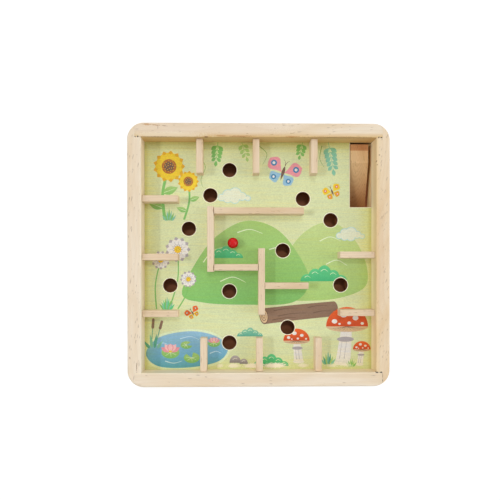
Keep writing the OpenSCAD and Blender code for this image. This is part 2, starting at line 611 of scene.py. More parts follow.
@dataclass(frozen=True)
class DeckPlywood(SolidWood):
    """Plywood of the base board, darkened on its upper face as painted shade for the dark hollow under the
    play board.

    Attributes:
        stain_and_shade: tint of the painted shade.
        shade_start: height above which the painted shade begins.
        shade_full: height above which the painted shade is full.
    """

    stain_and_shade: Colour = Colour(195, 141, 112)
    shade_start: float = 3.6
    shade_full: float = 3.9

    def marks(self, g: Graph, colour: Socket) -> Marked:
        """Draws the painted shade. Returns the colour with it, and no depth."""
        # Painted shade: the upper face of the base board is darkened, since the hollow under the play board
        # lies in shade.
        return g.tint(g.rise(g.axes[Z], self.shade_start, self.shade_full), colour, self.stain_and_shade), 0.0


@dataclass(frozen=True)
class ScorchedPlywood:
    """Thin plywood with a bare pale face and cut edges browned by the cutter.

    Attributes:
        name: name of the material.
        face: colour of the bare faces.
        scorch: colour of the cut edges.
        ply: colour of the middle ply's edge.
        top: height of the upper face.
        thickness: thickness of the board, a third of which is its middle ply.
        skin: how far the colour of the faces goes down the edges.
        rim: place along X where the right rail begins, past which no edge is browned.
        raw: colour of the edges that aren't browned.
    """

    name: str
    face: Colour
    scorch: Colour
    ply: Colour
    top: float
    thickness: float
    skin: float = 0.02
    rim: float = 106.9
    raw: Colour = Colour(236, 202, 152)

    def material(self) -> bpy.types.Material:
        """Builds the finish.

        Returns:
            Its material.
        """
        g = Graph(self.name)
        fibres = g.noise(Noise.VENEER)
        half, middle = self.thickness / 2, (self.top - self.thickness / 2) * MM
        inside = g.calc("COMPARE", g.axes[Z], middle, (half - self.skin) * MM)
        core = g.calc("COMPARE", g.axes[Z], middle, half / 3 * MM)
        edge = g.blend(core, self.scorch.linear(), self.ply.linear())
        edge = g.tone(edge, g.noise(Noise.BURN), 0.5)
        edge = g.blend(g.calc("GREATER_THAN", g.axes[X], self.rim * MM), edge, self.raw.linear())
        return g.finish(
            Base_Color=g.blend(inside, g.tone(self.face.linear(), fibres, 0.08), edge),
            Roughness=0.7,
            Normal=g.relief(fibres, 0.04),
            Specular_IOR_Level=0.2,
        )


@dataclass(frozen=True)
class PrintInk:
    """Ink of the printed sheet over fine wood grain, with painted shade along the rails, and rubbed off in
    places.

    Attributes:
        name: name of the material.
        attribute: name of the colours on the sheet's mesh.
        worn: the places where the ink is rubbed off.
        top: height of the sheet.
        streak: tint of the ink along the darker fibres.
        wall_shade: tint of the painted shade on the ink along the rails.
        wall_shade_from: distance from the centre lines where that painted shade begins.
        wall_shade_to: distance from the centre lines where it is strongest.
        foot_shade: tint of the painted shade on the ink at the foot of the side rails and the back rail.
        foot_shade_from: distance from the centre lines where that painted shade begins.
        foot_shade_to: distance from the centre lines where it is strongest.
    """

    name: str
    attribute: str
    worn: tuple[Mark, ...]
    top: float
    streak: Colour = Colour(251, 246, 233)
    wall_shade: Colour = Colour(248, 244, 219)
    wall_shade_from: float = 90.0
    wall_shade_to: float = 106.0
    foot_shade: Colour = Colour(238, 232, 208)
    foot_shade_from: float = 102.5
    foot_shade_to: float = 106.5

    def material(self) -> bpy.types.Material:
        """Builds the finish.

        Returns:
            Its material.
        """
        g = Graph(self.name)
        grain = g.noise(Noise.PRINT)
        colour = g.add("Attribute", attribute_name=self.attribute).outputs["Color"]
        for value, spread in ((grain, 0.2), (g.noise(Noise.SPECKLE), 0.2), (g.noise(Noise.CLOUD), 0.05)):
            colour = g.tone(colour, value, spread)
        colour = g.tint(g.level(grain, 0.46, 0.66), colour, self.streak)
        # Painted shade: the ink turns darker and yellower towards the rails, and darker still at the foot of
        # the side rails and the back rail.
        aside, ahead = g.calc("ABSOLUTE", g.axes[X]), g.axes[Y]
        out = g.calc("MAXIMUM", aside, g.calc("ABSOLUTE", ahead))
        colour = g.tint(g.rise(out, self.wall_shade_from, self.wall_shade_to), colour, self.wall_shade)
        out = g.calc("MAXIMUM", aside, ahead)
        colour = g.tint(g.rise(out, self.foot_shade_from, self.foot_shade_to), colour, self.foot_shade)
        return g.finish(
            Base_Color=lay_marks(g, colour, self.worn, self.top)[0],
            Roughness=g.level(grain, 0.3, 0.7, (0.42, 0.52)),
            Normal=g.relief(grain, 0.02),
            Specular_IOR_Level=0.25,
        )


@dataclass(frozen=True)
class Lacquer:
    """Glossy coloured lacquer on a ball, with painted shade: lighter on its crown and darker from there down
    to its middle and below.

    Attributes:
        name: name of the material.
        crown: colour of the lacquer on its crown.
        deep: colour of the painted shade, from the middle down.
        low: height at and below which the painted shade is full.
        high: height above which the crown colour is full.
    """

    name: str
    crown: Colour
    deep: Colour
    low: float
    high: float

    def material(self) -> bpy.types.Material:
        """Builds the finish.

        Returns:
            Its material.
        """
        g = Graph(self.name)
        flow = g.noise(Noise.FLOW)
        # Painted shade: the red darkens from the crown down to the middle of the ball.
        upper_light = g.rise(g.axes[Z], self.low, self.high)
        colour = g.blend(upper_light, self.deep.linear(), self.crown.linear())
        return g.finish(
            Base_Color=g.tone(colour, flow, 0.12),
            Roughness=0.32,
            Normal=g.relief(flow, 0.01),
            Specular_IOR_Level=0.0,
            Coat_Weight=0.42,
            Coat_Roughness=0.03,
        )


@dataclass(frozen=True)
class WireSteel:
    """Drawn steel of the brads, dull and lightly spotted.

    Attributes:
        name: name of the material.
        colour: colour of the metal.
    """

    name: str
    colour: Colour

    def material(self) -> bpy.types.Material:
        """Builds the finish.

        Returns:
            Its material.
        """
        g = Graph(self.name)
        spots = g.noise(Noise.SPOTS)
        rough = g.level(spots, 0.3, 0.7, (0.3, 0.5))
        return g.finish(Base_Color=g.tone(self.colour.linear(), spots, 0.2), Roughness=rough, Metallic=1.0)


def dress(names: Iterable[str], material: bpy.types.Material) -> None:
    """Puts a finish on solids of the frame.

    Args:
        names: the solids.
        material: the finish.
    """
    for name in names:
        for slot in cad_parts[name].material_slots:
            slot.material = material
        log.info("%s dressed in %s", name, material.name)


class Ink(Enum):
    """Inks of the printed picture."""

    MEADOW = Colour(217, 224, 174)
    PALE_LEAF = Colour(196, 214, 142)
    LEAF = Colour(168, 203, 118)
    DEEP_LEAF = Colour(128, 190, 104)
    BUSH = Colour(98, 200, 136)
    DEEP_BUSH = Colour(72, 178, 118)
    TEAL = Colour(132, 192, 164)
    DEEP_TEAL = Colour(92, 168, 146)
    BARK = Colour(138, 110, 90)
    DEEP_BARK = Colour(112, 86, 70)
    HEARTWOOD = Colour(214, 184, 146)
    ORANGE = Colour(229, 102, 46)
    DEEP_ORANGE = Colour(206, 78, 36)
    WHITE = Colour(233, 229, 222)
    CLOUD = Colour(228, 233, 208)
    CLOUD_RIM = Colour(186, 219, 218)
    YELLOW = Colour(237, 205, 52)
    AMBER = Colour(224, 172, 40)
    SEED = Colour(176, 108, 48)
    WATER = Colour(148, 190, 216)
    RIPPLE = Colour(190, 219, 230)
    DEEP_WATER = Colour(92, 166, 198)
    INDIGO = Colour(62, 130, 176)
    PINK = Colour(233, 152, 162)
    PALE_PINK = Colour(243, 192, 194)
    STONE = Colour(134, 124, 128)
    PALE_STONE = Colour(176, 168, 170)
    VINE = Colour(146, 178, 98)
    HIGHLIGHT = Colour(222, 234, 196)
    BARE = Colour(255, 248, 220)
    SCORCH = Colour(66, 38, 26)
    NONE = Colour(0, 0, 0)


def polar(centre: Point, radius: float, degrees: float) -> Point:
    """Returns the point at a distance and direction from a centre."""
    angle = math.radians(degrees)
    return centre[0] + radius * math.cos(angle), centre[1] + radius * math.sin(angle)


def between(start: Point, end: Point, share: float) -> Point:
    """Returns the point a share of the way from one point to another."""
    return start[0] + (end[0] - start[0]) * share, start[1] + (end[1] - start[1]) * share


def ellipse(centre: Point, width: float, height: float, turn: float = 0.0) -> Outline:
    """Draws an ellipse.

    Args:
        centre: its middle.
        width: its size along its first axis.
        height: its size along its second axis.
        turn: angle of the first axis, in degrees.

    Returns:
        The outline, finer on a larger ellipse.
    """
    steps = max(12, int(10 + 6 * math.sqrt(max(width, height))))
    cos, sin = math.cos(math.radians(turn)), math.sin(math.radians(turn))
    outline = []
    for k in range(steps):
        x, y = width / 2 * math.cos(math.tau * k / steps), height / 2 * math.sin(math.tau * k / steps)
        outline.append((centre[0] + cos * x - sin * y, centre[1] + sin * x + cos * y))
    return outline


def curve(knots: Sequence[Point], closed: bool = False, steps: int = 8) -> Outline:
    """Draws a smooth line through knots.

    Args:
        knots: points on the line.
        closed: whether the line runs back to its start.
        steps: points in each span.

    Returns:
        The points of the line.
    """
    count = len(knots)
    points = []
    for i in range(count if closed else count - 1):
        reach = [(i + k) % count if closed else min(max(i + k, 0), count - 1) for k in (-1, 0, 1, 2)]
        for k in range(steps):
            t = k / steps
            weights = (
                (-t + 2 * t**2 - t**3) / 2,
                (2 - 5 * t**2 + 3 * t**3) / 2,
                (t + 4 * t**2 - 3 * t**3) / 2,
                (t**3 - t**2) / 2,
            )
            x, y = (sum(w * knots[j][axis] for w, j in zip(weights, reach)) for axis in (0, 1))
            points.append((x, y))
    return points if closed else [*points, knots[-1]]


def ribbon(knots: Sequence[Point], start: float, end: float) -> Outline:
    """Draws a band along a smooth line.

    Args:
        knots: points on the line.
        start: width at the first knot.
        end: width at the last knot.

    Returns:
        The outline of the band.
    """
    line = curve(knots)
    right, left = [], []
    for i, (x, y) in enumerate(line):
        before, after = line[max(i - 1, 0)], line[min(i + 1, len(line) - 1)]
        dx, dy = after[0] - before[0], after[1] - before[1]
        half = (start + (end - start) * i / (len(line) - 1)) / 2 / math.hypot(dx, dy)
        right.append((x + dy * half, y - dx * half))
        left.append((x - dy * half, y + dx * half))
    return right + left[::-1]


def leaf(base: Point, tip: Point, width: float, fullest: float = 0.45, steps: int = 9) -> Outline:
    """Draws a blade with two points.

    Args:
        base: where it starts.
        tip: where it ends.
        width: its greatest width.
        fullest: share of the length at which it is widest.
        steps: points along each side.

    Returns:
        The outline of the blade.
    """
    dx, dy = tip[0] - base[0], tip[1] - base[1]
    power = math.log(0.5) / math.log(fullest)
    right, left = [], []
    for k in range(1, steps):
        t = k / steps
        swell = width / 2 * math.sin(math.pi * t**power) / math.hypot(dx, dy)
        x, y = between(base, tip, t)
        right.append((x + dy * swell, y - dx * swell))
        left.append((x - dy * swell, y + dx * swell))
    return [base, *right, tip, *left[::-1]]


def block(left: float, front: float, right: float, back: float) -> Outline:
    """Returns a rectangle from its edges."""
    return [(left, front), (right, front), (right, back), (left, back)]


def mound(foot: Point, width: float, height: float, steps: int = 18) -> Outline:
    """Returns a half ellipse that stands on its foot."""
    arc = (polar((0.0, 0.0), 1.0, 180 * k / steps) for k in range(steps + 1))
    return [(foot[0] + x * width / 2, foot[1] + y * height) for x, y in arc]


@dataclass(frozen=True)
class Patch:
    """One field of ink.

    Attributes:
        outline: its edge, anticlockwise.
        ink: its ink, at the foot where it fades.
        top_ink: the ink at the top where it fades.
    """

    outline: Outline
    ink: Ink
    top_ink: Ink

    def colour(self, y: float) -> tuple[float, ...]:
        """Mixes the two inks.

        Args:
            y: height on the picture.

        Returns:
            The colour there.
        """
        low, high = min(p[1] for p in self.outline), max(p[1] for p in self.outline)
        share = (y - low) / (high - low)
        foot, top = self.ink.value.linear(), self.top_ink.value.linear()
        return tuple(a + (b - a) * share for a, b in zip(foot, top))


@dataclass
class Picture:
    """Fields of ink, each laid over those before it.

    Attributes:
        patches: the fields in order.
    """

    patches: list[Patch] = field(default_factory=list)

    def paint(self, outline: Outline, ink: Ink, top_ink: Ink | None = None) -> None:
        """Lays a field of ink.

        Args:
            outline: edge of the field.
            ink: its ink, or the ink at its foot.
            top_ink: ink that it fades to at its top.
        """
        turns = zip(outline, outline[1:] + outline[:1])
        if sum(a[0] * b[1] - b[0] * a[1] for a, b in turns) < 0:
            outline = outline[::-1]
        self.patches.append(Patch(outline, ink, top_ink or ink))

    def stroke(self, knots: Sequence[Point], width: float, ink: Ink, end: float | None = None) -> None:
        """Lays a brush stroke.

        Args:
            knots: points on the stroke.
            width: its width at the start.
            ink: its ink.
            end: its width at the end, about a third if not given.
        """
        self.paint(ribbon(knots, width, width * 0.35 if end is None else end), ink)


class Motif(ABC):
    """One drawn thing of the printed picture."""

    @abstractmethod
    def draw(self, picture: Picture) -> None:
        """Lays the thing's fields of ink on a picture."""


@dataclass(frozen=True)
class Field(Motif):
    """A plain or fading field with a smooth edge.

    Attributes:
        knots: points on its edge.
        ink: ink at its foot.
        top_ink: ink at its top.
    """

    knots: Sequence[Point]
    ink: Ink
    top_ink: Ink

    def draw(self, picture: Picture) -> None:
        """Lays the field."""
        picture.paint(curve(self.knots, True, 10), self.ink, self.top_ink)


@dataclass(frozen=True)
class Strokes(Motif):
    """A few strokes of one ink.

    Attributes:
        lines: knots of each stroke.
        width: width at the start of a stroke.
        ink: the ink.
    """

    lines: Sequence[Sequence[Point]]
    width: float
    ink: Ink

    def draw(self, picture: Picture) -> None:
        """Lays the strokes."""
        for knots in self.lines:
            picture.stroke(knots, self.width, self.ink)


@dataclass(frozen=True)
class Bloom(Motif):
    """A round flower on a stem.

    Attributes:
        centre: middle of the flower.
        radius: reach of its petals.
        foot: lower end of the stem.
        bend: how far the stem bows to the right.
        petals: petals in each of the two rings.
        inks: inks of the two rings.
        turn: turn of the petals, in degrees.
    """

    centre: Point
    radius: float
    foot: Point
    bend: float
    petals: int
    inks: tuple[Ink, Ink]
    turn: float = 0.0

    def stem(self) -> list[Point]:
        """Returns the knots of the stem, from the flower down."""
        middle = between(self.centre, self.foot, 0.5)
        return [self.centre, (middle[0] + self.bend, middle[1]), self.foot]

    def draw_petals(self, picture: Picture) -> None:
        """Lays both rings of petals, the second in the gaps of the first.

        Args:
            picture: the picture that takes it.
        """
        for ring, ink in enumerate(self.inks):
            reach = self.radius * (1 - 0.12 * ring)
            for k in range(self.petals):
                angle = self.turn + 360 * (k + 0.5 * ring) / self.petals
                root, tip = polar(self.centre, self.radius * 0.2, angle), polar(self.centre, reach, angle)
                picture.paint(leaf(root, tip, self.radius * 0.42, 0.62), ink)

    def draw_disc(self, picture: Picture, share: float, ink: Ink) -> None:
        """Lays a disc on the flower's middle, as wide as a share of its radius."""
        picture.paint(ellipse(self.centre, self.radius * share, self.radius * share), ink)

    def draw(self, picture: Picture) -> None:
        """Lays stem and petals."""
        picture.stroke(self.stem(), 1.0, Ink.DEEP_LEAF, 1.3)
        self.draw_petals(picture)


@dataclass(frozen=True)
class Sunflower(Bloom):
    """A tall yellow flower with broad leaves and a seeded middle."""

    petals: int = 13
    inks: tuple[Ink, Ink] = (Ink.AMBER, Ink.YELLOW)

    def draw(self, picture: Picture) -> None:
        """Lays stem, leaves, petals and seeds.

        Args:
            picture: the picture that takes it.
        """
        r = self.radius
        picture.stroke(self.stem(), r * 0.16, Ink.DEEP_LEAF, r * 0.2)
        for side, share in ((1, 0.55), (-1, 0.75)):
            root = curve(self.stem())[int(share * 16)]
            tip = (root[0] + side * r * 0.95, root[1] + r * 0.35)
            picture.paint(leaf(root, tip, r * 0.5), Ink.DEEP_LEAF, Ink.LEAF)
            picture.stroke([between(root, tip, 0.1), between(root, tip, 0.8)], 0.5, Ink.HIGHLIGHT)
        self.draw_petals(picture)
        self.draw_disc(picture, 0.92, Ink.SEED)
        self.draw_disc(picture, 0.62, Ink.DEEP_BARK)
        for k in range(1, 26):
            seed = polar(self.centre, r * 0.42 * math.sqrt(k / 26), k * 137.5)
            picture.paint(ellipse(seed, r * 0.06, r * 0.06), Ink.AMBER)


@dataclass(frozen=True)
class Daisy(Bloom):
    """A white flower with a yellow middle."""

    petals: int = 11
    inks: tuple[Ink, Ink] = (Ink.PALE_STONE, Ink.WHITE)

    def draw(self, picture: Picture) -> None:
        """Lays stem, petals with a fold each, and the middle.

        Args:
            picture: the picture that takes it.
        """
        super().draw(picture)
        r = self.radius
        for k in range(self.petals):
            angle = self.turn + 360 * (k + 0.5) / self.petals
            fold = [polar(self.centre, r * share, angle) for share in (0.36, 0.66)]
            picture.stroke(fold, 0.45, Ink.PALE_STONE)
        self.draw_disc(picture, 0.56, Ink.AMBER)
        self.draw_disc(picture, 0.46, Ink.YELLOW)
        for k in range(6):
            picture.paint(ellipse(polar(self.centre, r * 0.13, k * 60), r * 0.07, r * 0.07), Ink.SEED)


@dataclass(frozen=True)
class Toadstool(Motif):
    """An orange toadstool with pale spots.

    Attributes:
        foot: middle of its foot.
        height: height of the stalk.
        cap: width of the cap.
        lean: how far the top leans to the right.
    """

    foot: Point
    height: float
    cap: float
    lean: float

    def draw(self, picture: Picture) -> None:
        """Lays stalk, ring, gills, cap and spots.

        Args:
            picture: the picture that takes it.
        """
        (x, y), cap = self.foot, self.cap
        top, neck = (x + self.lean, y + self.height), (x + self.lean * 0.6, y + self.height * 0.55)
        picture.paint(ribbon([self.foot, neck, top], cap * 0.36, cap * 0.22), Ink.WHITE)
        picture.paint(ellipse(self.foot, cap * 0.42, cap * 0.14), Ink.WHITE)
        for side in (-0.08, 0.03):
            low, high = (x + side * cap, y + self.height * 0.1), (neck[0] + side * cap, neck[1])
            picture.stroke([low, high], 0.5, Ink.PALE_STONE)
        ring = (neck[0], neck[1] + self.height * 0.03)
        picture.paint(ellipse(ring, cap * 0.4, cap * 0.12), Ink.PALE_STONE)
        rim = (top[0], top[1] - self.height * 0.1)
        picture.paint(ellipse(rim, cap, cap * 0.26), Ink.HEARTWOOD)
        for k in range(-4, 5):
            end = (rim[0] + k * cap * 0.105, rim[1] - cap * 0.1 * math.cos(k / 4.6))
            picture.stroke([rim, end], 0.4, Ink.BARK)
        picture.paint(mound(rim, cap, cap * 0.46), Ink.DEEP_ORANGE, Ink.ORANGE)
        spots = (
            (-0.3, 0.12, 0.13), (-0.08, 0.28, 0.17), (0.2, 0.2, 0.14),
            (0.36, 0.07, 0.08), (0.05, 0.08, 0.09), (-0.18, 0.06, 0.06),
        )
        for dx, dy, size in spots:
            spot = (rim[0] + dx * cap, rim[1] + dy * cap)
            picture.paint(ellipse(spot, size * cap, size * cap * 0.8), Ink.WHITE)


@dataclass(frozen=True)
class Tuft(Motif):
    """A tuft of grass.

    Attributes:
        foot: middle of its foot.
        height: height of the middle blade.
        blades: number of blades.
        inks: inks that the blades take in turn.
    """

    foot: Point
    height: float
    blades: int
    inks: Sequence[Ink]

    def draw(self, picture: Picture) -> None:
        """Lays the blades from left to right.

        Args:
            picture: the picture that takes it.
        """
        (x, y), high = self.foot, self.height
        for k in range(self.blades):
            share = k / (self.blades - 1) - 0.5
            root = (x + share * high * 0.4, y)
            tip = (x + share * high * 1.1, y + high * (1 - 1.1 * abs(share)))
            picture.paint(leaf(root, tip, high * 0.17, 0.3), self.inks[k % len(self.inks)])


@dataclass(frozen=True)
class Stone(Motif):
    """A round grey stone.

    Attributes:
        foot: middle of its foot.
        width: its width.
        height: its height.
    """

    foot: Point
    width: float
    height: float

    def draw(self, picture: Picture) -> None:
        """Lays the stone and the light on it.

        Args:
            picture: the picture that takes it.
        """
        (x, y), w, h = self.foot, self.width, self.height
        picture.paint(mound(self.foot, w, h), Ink.STONE, Ink.PALE_STONE)
        light = [(x - w * 0.22, y + h * 0.45), (x, y + h * 0.62), (x + w * 0.2, y + h * 0.5)]
        picture.stroke(light, 0.6, Ink.WHITE)


@dataclass(frozen=True)
class Cloud(Motif):
    """A pale cloud with a blue rim.

    Attributes:
        centre: its middle.
        size: about half its length.
    """

    centre: Point
    size: float

    def draw(self, picture: Picture) -> None:
        """Lays all puffs as rims, and again a little smaller.

        Args:
            picture: the picture that takes it.
        """
        puffs = (
            (-0.62, -0.06, 0.3), (-0.28, 0.12, 0.42), (0.12, 0.18, 0.5), (0.5, 0.0, 0.36),
            (0.82, -0.1, 0.22), (0.1, -0.14, 0.4), (-0.3, -0.14, 0.34),
        )
        for ink, rim in ((Ink.CLOUD_RIM, 1.4), (Ink.CLOUD, 0.0)):
            for dx, dy, r in puffs:
                middle = (self.centre[0] + dx * self.size, self.centre[1] + dy * self.size)
                picture.paint(ellipse(middle, 1.24 * r * self.size + rim, 1.12 * r * self.size + rim), ink)


@dataclass(frozen=True)
class Bush(Motif):
    """A low bush of round lobes.

    Attributes:
        foot: middle of its foot.
        width: its width.
        ink: ink at the top of a lobe.
        deep: ink at the foot of a lobe.
    """

    foot: Point
    width: float
    ink: Ink
    deep: Ink

    def draw(self, picture: Picture) -> None:
        """Lays the lobes from the back, then the light on them.

        Args:
            picture: the picture that takes it.
        """
        lobes = (
            (-0.39, 0.34, 0.17), (0.4, 0.3, 0.15), (-0.21, 0.38, 0.3),
            (0.22, 0.36, 0.27), (0.01, 0.42, 0.38),
        )
        for dx, wide, high in lobes:
            foot = (self.foot[0] + dx * self.width, self.foot[1])
            picture.paint(mound(foot, wide * self.width, high * self.width), self.deep, self.ink)
        for dx, wide, high in lobes:
            x, y = self.foot[0] + dx * self.width, self.foot[1] + high * self.width * 0.74
            arm = wide * self.width * 0.2
            picture.stroke([(x - arm, y - arm * 0.5), (x, y), (x + arm, y - arm * 0.6)], 0.6, Ink.HIGHLIGHT)


@dataclass(frozen=True)
class Sprig(Motif):
    """A twig with leaves in pairs.

    Attributes:
        root: where the twig starts.
        tip: where it ends.
        pairs: pairs of leaves.
        size: length of the largest leaf.
        ink: its ink.
    """

    root: Point
    tip: Point
    pairs: int
    size: float
    ink: Ink

    def draw(self, picture: Picture) -> None:
        """Lays the twig, its pairs and its last leaf.

        Args:
            picture: the picture that takes it.
        """
        picture.stroke([self.root, between(self.root, self.tip, 0.5), self.tip], 0.6, self.ink)
        heading = math.degrees(math.atan2(self.tip[1] - self.root[1], self.tip[0] - self.root[0]))
        for k in range(self.pairs):
            share = 0.2 + 0.75 * k / self.pairs
            joint, length = between(self.root, self.tip, share), self.size * (1 - 0.35 * share)
            for side in (-48, 48):
                end = polar(joint, length, heading + side)
                picture.paint(leaf(joint, end, length * 0.55, 0.6), self.ink)
        last = between(self.root, self.tip, 0.9)
        picture.paint(leaf(last, polar(self.tip, self.size * 0.5, heading), self.size * 0.4, 0.6), self.ink)


@dataclass(frozen=True)
class Butterfly(Motif):
    """A butterfly seen from above.

    Attributes:
        centre: its middle.
        size: length of an upper wing.
        turn: its turn, in degrees.
        inks: inks of the upper wings, the lower wings and the marks.
    """

    centre: Point
    size: float
    turn: float
    inks: tuple[Ink, Ink, Ink]

    def draw(self, picture: Picture) -> None:
        """Lays the wings with their marks, then the body and its feelers.

        Args:
            picture: the picture that takes it.
        """
        upper, lower, mark = self.inks
        ahead = self.turn + 90
        for side in (-1, 1):
            for ink, rise, reach, width in ((lower, -38, 0.72, 0.6), (upper, 32, 1.0, 0.72)):
                heading, size = ahead + side * (90 - rise), self.size * reach
                tip = polar(self.centre, size, heading)
                picture.paint(leaf(self.centre, tip, self.size * width, 0.68), ink)
                for share, spot in ((0.42, mark), (0.2, Ink.WHITE)):
                    across = self.size * width * share
                    picture.paint(ellipse(polar(self.centre, size * 0.68, heading), across, across), spot)
        head, tail = polar(self.centre, self.size * 0.38, ahead), polar(self.centre, -self.size * 0.4, ahead)
        picture.paint(leaf(tail, head, self.size * 0.16, 0.6), Ink.DEEP_BARK)
        for side in (-14, 14):
            bend = polar(head, self.size * 0.2, ahead + side)
            end = polar(head, self.size * 0.34, ahead + 2 * side)
            picture.stroke([head, bend, end], 0.5, Ink.DEEP_BARK)


@dataclass(frozen=True)
class Reed(Motif):
    """A reed with its brown head.

    Attributes:
        foot: lower end of the stem.
        top: upper end of the head.
    """

    foot: Point
    top: Point

    def draw(self, picture: Picture) -> None:
        """Lays stem and head.

        Args:
            picture: the picture that takes it.
        """
        picture.stroke([self.foot, between(self.foot, self.top, 0.5), self.top], 0.9, Ink.DEEP_TEAL, 0.6)
        head = between(self.foot, self.top, 0.72)
        picture.paint(ribbon([head, self.top], 2.6, 2.4), Ink.BARK)
        for end in (head, self.top):
            picture.paint(ellipse(end, 2.5, 2.5), Ink.BARK)


@dataclass(frozen=True)
class LilyPad(Motif):
    """A floating leaf with a notch, and a flower on it if it has a size.

    Attributes:
        centre: its middle.
        width: its width.
        notch: direction of the notch, in degrees.
        flower: height of the flower, or 0.
    """

    centre: Point
    width: float
    notch: int
    flower: float = 0.0

    def rim(self, degrees: float, share: float) -> Point:
        """Returns the point in a direction, a share of the way to the rim."""
        x, y = polar((0.0, 0.0), self.width * share, degrees)
        return self.centre[0] + x / 2, self.centre[1] + y / 3

    def draw(self, picture: Picture) -> None:
        """Lays the leaf with its ribs, then the flower.

        Args:
            picture: the picture that takes it.
        """
        edge = [self.rim(a, 1.0) for a in range(self.notch + 22, self.notch + 340, 14)]
        picture.paint([self.centre, *edge], Ink.DEEP_LEAF, Ink.LEAF)
        for a in range(self.notch + 60, self.notch + 320, 52):
            picture.stroke([self.centre, self.rim(a, 0.76)], 0.5, Ink.HIGHLIGHT)
        if not self.flower:
            return
        petals = (
            (1.0, 62, Ink.PINK), (0.95, 34, Ink.PALE_PINK), (0.8, 12, Ink.PINK), (0.85, 0, Ink.PALE_PINK),
        )
        for reach, spread, ink in petals:
            for angle in sorted({90 - spread, 90 + spread}):
                tip = polar(self.centre, self.flower * reach, angle)
                picture.paint(leaf(self.centre, tip, self.flower * 0.42, 0.55), ink)
        heart = (self.centre[0], self.centre[1] + self.flower * 0.1)
        picture.paint(ellipse(heart, self.flower * 0.3, self.flower * 0.2), Ink.YELLOW)


@dataclass(frozen=True)
class Log(Motif):
    """A fallen log whose near end shows its rings.

    Attributes:
        near: middle of the near end.
        far: middle of the far end.
        girth: its thickness.
    """

    near: Point
    far: Point
    girth: float

    def at(self, along: float, across: float) -> Point:
        """Returns the point a share along the log and a share of its girth off its middle."""
        x, y = between(self.near, self.far, along)
        return x, y + across * self.girth

    def draw(self, picture: Picture) -> None:
        """Lays bark, cracks, end and rings.

        Args:
            picture: the picture that takes it.
        """
        spine = [self.near, self.at(0.5, 0.02), self.far]
        picture.paint(ribbon(spine, self.girth, self.girth * 0.94), Ink.BARK)
        picture.paint(ellipse(self.far, self.girth * 0.46, self.girth * 0.94, 8), Ink.BARK)
        cracks = (
            (0.14, 0.5, 0.28), (0.2, 0.6, -0.08), (0.62, 0.9, 0.25), (0.7, 0.95, -0.12), (0.12, 0.46, -0.3),
        )
        for start, end, off in cracks:
            line = [self.at(start, off), self.at((start + end) / 2, off + 0.06), self.at(end, off)]
            picture.stroke(line, 0.9, Ink.DEEP_BARK)
        rings = (
            (1.0, Ink.DEEP_BARK), (0.86, Ink.HEARTWOOD), (0.6, Ink.BARK),
            (0.5, Ink.HEARTWOOD), (0.3, Ink.BARK), (0.2, Ink.HEARTWOOD),
        )
        for share, ink in rings:
            picture.paint(ellipse(self.near, self.girth * 0.54 * share, self.girth * share, 8), ink)


